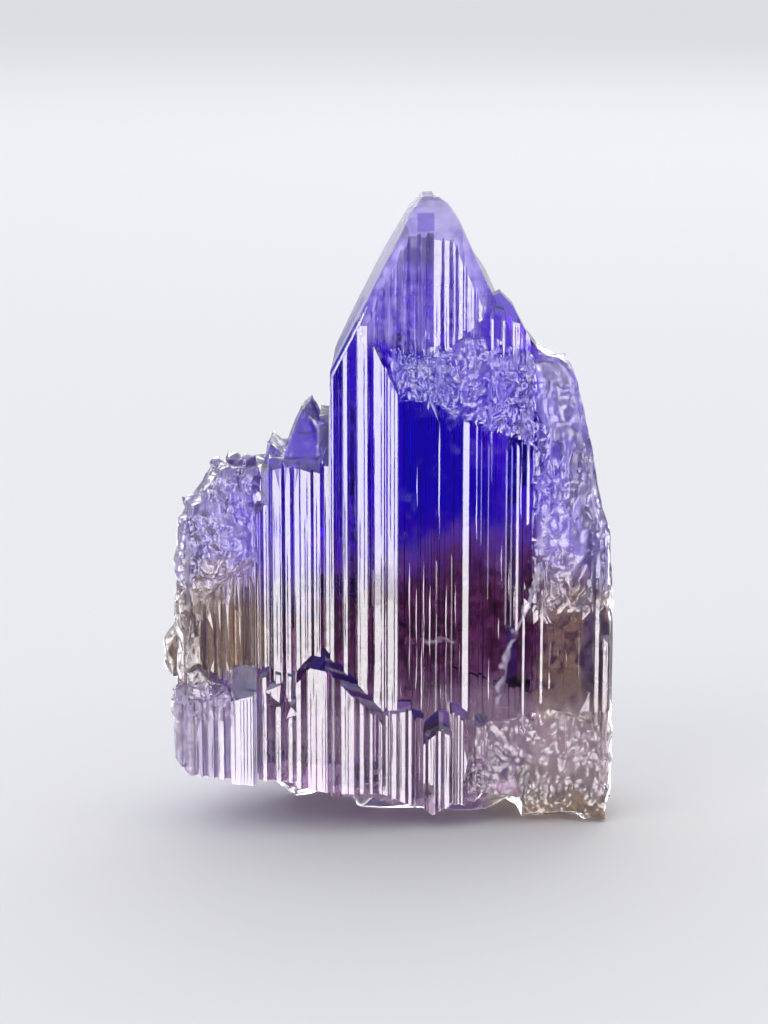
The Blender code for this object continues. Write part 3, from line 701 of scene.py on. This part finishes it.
# %% How hazy each spot is
low = 1.0 - rise(z_soft, 7.0, 9.0)
foot_haze = low * (0.22 + left * 0.26 + right * 0.16) + left * within(z_soft, 9.0, 14.5, 1.0) * 0.14
side_haze = left * rise(z_soft, 14.0, 17.0) * 0.1 + right * rise(z_soft, 22.0, 26.0) * 0.26
frost = rise(streak + fleck * 0.6, -0.1, 0.14)
unworn = 1.0 - etch.larger(shoulder) * 0.8
crown_haze = rise(z_soft + 0.4 * x, 28.4, 31.4) * (0.2 + frost * 0.38) * unworn
crown_haze = crown_haze + rise(z, 33.2, 34.6) * 0.16
crust_haze = within(x_soft, *CRUST_AT) * (1.0 - rise(z_soft, 1.2, 2.4)) * 0.9
haze = etch * 0.07 + rise(fleck + drift, 0.05, 0.35) * 0.14 + right * 0.12
# The ledge tops with painted shade are kept clearer.
haze = (haze + side_haze + foot_haze + crown_haze) * (1.0 - ledge * 0.6)
haze = haze.larger(crust_haze).larger(crack * 0.85).larger(specks * 0.9).larger(pit_shade * 0.35)
print("nodes with the haze:", len(gem_recipe.tree.nodes))

# %% [markdown]
# ### The milk's own colour
# What scatters light in the stone is whiter than the stone, so the milky shader's colour is half way from
# the zone's colour to a pale one. The crust, the veils and the specks have colours of their own. The pit
# gets a darker violet, which is painted shade.

# %% Colour the milk
pale_foot = layer(left, shade(214, 190, 198), shade(236, 224, 240))
milk = layer(rise(z_soft, 8.0, 18.0), pale_foot, shade(218, 208, 246))
bloom = layer(0.5 + low * left * 0.3, colour, milk)
soil = layer(rise(fleck, -0.04, 0.22), shade(78, 52, 28), shade(160, 124, 80))
bloom = layer(crust_haze, bloom, soil)
# The pit's painted shade.
bloom = layer(pit_shade, bloom, shade(112, 84, 206))
bloom = layer(crack, bloom, shade(226, 216, 240))
bloom = layer(specks, bloom, shade(26, 16, 30))
print("nodes with the milk:", len(gem_recipe.tree.nodes))

# %% [markdown]
# ## The gem's own shader
# The clear part is plain glass with tanzanite's index, and light loses some red and green on its way
# through, which the volume does. The lines and the etch grains are cut in the mesh, so no bump is needed.
# The skin is polished but for the etched parts, some streaks and one worn patch across the laths.

# %% Clear, milky and mixed
IOR = 1.69

worn = within(x, -0.95, 0.75, 0.1) * within(z + fleck * 2.0, 13.9, 16.4, 0.5)
rough = etch * 0.2 + rise(streak, 0.0, 0.3) * 0.16 + worn * 0.2 + 0.03
clear = gem_recipe.node(
    "ShaderNodeBsdfPrincipled",
    {},
    {"Base Color": colour, "Roughness": rough, "IOR": IOR, "Transmission Weight": 1.0},
)
milky = gem_recipe.node(
    "ShaderNodeBsdfPrincipled",
    {},
    {
        "Base Color": bloom,
        "Roughness": 0.4,
        "IOR": IOR,
        "Transmission Weight": 0.25,
        "Coat Weight": 0.8,
        "Coat Roughness": 0.06,
    },
)
skin = gem_recipe.node("ShaderNodeMixShader", {}, {0: haze, 1: clear, 2: milky})
volume = gem_recipe.node(
    "ShaderNodeVolumeAbsorption", {}, {"Color": (0.42, 0.30, 0.93, 1.0), "Density": 60.0}
)
gem_recipe.node("ShaderNodeOutputMaterial", {}, {"Surface": skin, "Volume": volume})
gem.data.materials.append(gem_recipe.owner)
print("nodes in all:", len(gem_recipe.tree.nodes))

# %% [markdown]
# ## Floor
# A pale, matt floor runs on to the horizon, so that the eye has nothing to look at but the stone. The
# crystal doesn't mirror it, because a white floor in its faces would wash out their deep colour.

# %% Lay the floor
floor_recipe = Recipe(bpy.data.materials.new("studio_floor"))
paper = floor_recipe.node(
    "ShaderNodeBsdfPrincipled",
    {},
    {"Base Color": (0.62, 0.62, 0.64, 1.0), "Roughness": 0.9, "Specular IOR Level": 0.0},
)
floor_recipe.node("ShaderNodeOutputMaterial", {}, {"Surface": paper})
sheet = bmesh.new()
bmesh.ops.create_grid(sheet, x_segments=1, y_segments=1, size=8.0)
floor_mesh = bpy.data.meshes.new("studio_floor")
sheet.to_mesh(floor_mesh)
sheet.free()
floor = bpy.data.objects.new("studio_floor", floor_mesh)
floor.data.materials.append(floor_recipe.owner)
bpy.context.scene.collection.objects.link(floor)
floor.visible_glossy = False
print("floor width in m:", round(floor.dimensions.x, 1))

# %% [markdown]
# ## Lights
# One large ceiling light makes the studio soft. A smaller one from the left front gives the shapes a bright
# side, and one behind shines through the stone, as light does that a photographer puts behind a gem.

# %% Hang the lamps
CENTRE = (0.0, 0.0, 0.02)


def softbox(name, place, aim, size, power):
    """A rectangular lamp that looks at a point."""
    light = bpy.data.lights.new(name, "AREA")
    light.shape = "RECTANGLE"
    light.size, light.size_y = size
    light.energy = power
    lamp = bpy.data.objects.new(name, light)
    lamp.location = place
    lamp.rotation_euler = (Vector(aim) - Vector(place)).to_track_quat("-Z", "Y").to_euler()
    bpy.context.scene.collection.objects.link(lamp)
    print(name, "light of", power, "W")


softbox("ceiling", (0.0, 2.0, 2.0), (0.0, 2.0, 0.0), (10.0, 10.0), 300.0)
softbox("key", (-0.35, -0.35, 0.45), CENTRE, (0.4, 0.4), 0.7)
softbox("back", (0.1, 0.5, 0.4), CENTRE, (0.5, 0.3), 0.7)

# %% [markdown]
# ## Reflector cards
# A gem lives from what it mirrors, so small bright cards stand round it. Lamps would do, but they would
# light the floor too. The cards are seen only in the crystal's skin and light nothing else. Each is set out
# by angles as seen from the crystal, so that a lath that faces a card lights up along its whole length.

# %% Set up the cards
CARD_AT = 0.25
CARD_MIDDLE = Vector((0.0, 0.0, 0.018))
HALF_HEIGHT = CARD_AT * math.tan(math.radians(10.0))


def card_paint(name, strength):
    """Plain glowing paint, which isn't counted as a lamp."""
    recipe = Recipe(bpy.data.materials.new(name))
    glow = recipe.node("ShaderNodeEmission", {}, {"Color": (1.0, 0.98, 1.0, 1.0), "Strength": strength})
    recipe.node("ShaderNodeOutputMaterial", {}, {"Surface": glow})
    recipe.owner.cycles.emission_sampling = "NONE"
    return recipe.owner


def reflector(name, azimuth, pitch, width, paint):
    """A card that only mirrors in the crystal's skin. The angles are in degrees."""
    turn = math.radians(azimuth)
    dip = math.radians(pitch)
    out = Vector((math.sin(turn) * math.cos(dip), -math.cos(turn) * math.cos(dip), math.sin(dip)))
    facing = (-out).to_track_quat("-Z", "Y").to_matrix()
    half_width = CARD_AT * math.tan(math.radians(width / 2))
    form = bmesh.new()
    bmesh.ops.create_grid(form, x_segments=1, y_segments=1, size=1.0)
    bmesh.ops.scale(form, vec=(half_width, HALF_HEIGHT, 1.0), verts=form.verts)
    bmesh.ops.rotate(form, cent=(0, 0, 0), matrix=facing, verts=form.verts)
    bmesh.ops.translate(form, verts=form.verts, vec=out * CARD_AT + CARD_MIDDLE)
    card_mesh = bpy.data.meshes.new(name)
    form.to_mesh(card_mesh)
    form.free()
    card = bpy.data.objects.new(name, card_mesh)
    card.data.materials.append(paint)
    bpy.context.scene.collection.objects.link(card)
    card.visible_camera = False
    card.visible_diffuse = False
    card.visible_transmission = False
    card.visible_volume_scatter = False
    card.visible_shadow = False


bright = card_paint("bright_card", 11.5)
dim = card_paint("dim_card", 4.0)
for number, azimuth in enumerate((-13, 38, 78, 118, 160, -168, -118, -78)):
    reflector(f"card_{number}", azimuth, -21.0 if abs(azimuth) > 150 else -12.0, 15.0, bright)
for number, azimuth in enumerate(range(0, 360, 40)):
    reflector(f"high_card_{number}", azimuth, 22.0, 16.0, bright)
    reflector(f"low_card_{number}", azimuth + 20, -44.0, 16.0, bright)
reflector("card_beside", -34, -12.0, 26.0, dim)

# %% [markdown]
# ## The room
# The room is bright behind the crystal and dark in front of it, so that its rims glow while the flat faces
# that mirror the front keep their deep colour. A world with one grey could not do both.

# %% Light the room
DARK_FRONT = 0.06
BRIGHT_BACK = 0.75

room = Recipe(bpy.data.worlds.new("studio"))
direction = room.node("ShaderNodeTexCoord")
depth = room.node("ShaderNodeSeparateXYZ", {}, {0: direction}, out=1)
fade = {0: depth, 1: -0.25, 2: 0.25, 3: DARK_FRONT, 4: BRIGHT_BACK}
strength = room.node("ShaderNodeMapRange", {}, fade)
air = room.node("ShaderNodeBackground", {}, {"Color": (0.78, 0.80, 0.86, 1.0), "Strength": strength})
room.node("ShaderNodeOutputWorld", {}, {"Surface": air})
bpy.context.scene.world = room.owner
bpy.context.scene.view_settings.view_transform = "Standard"
print("world:", bpy.context.scene.world.name)
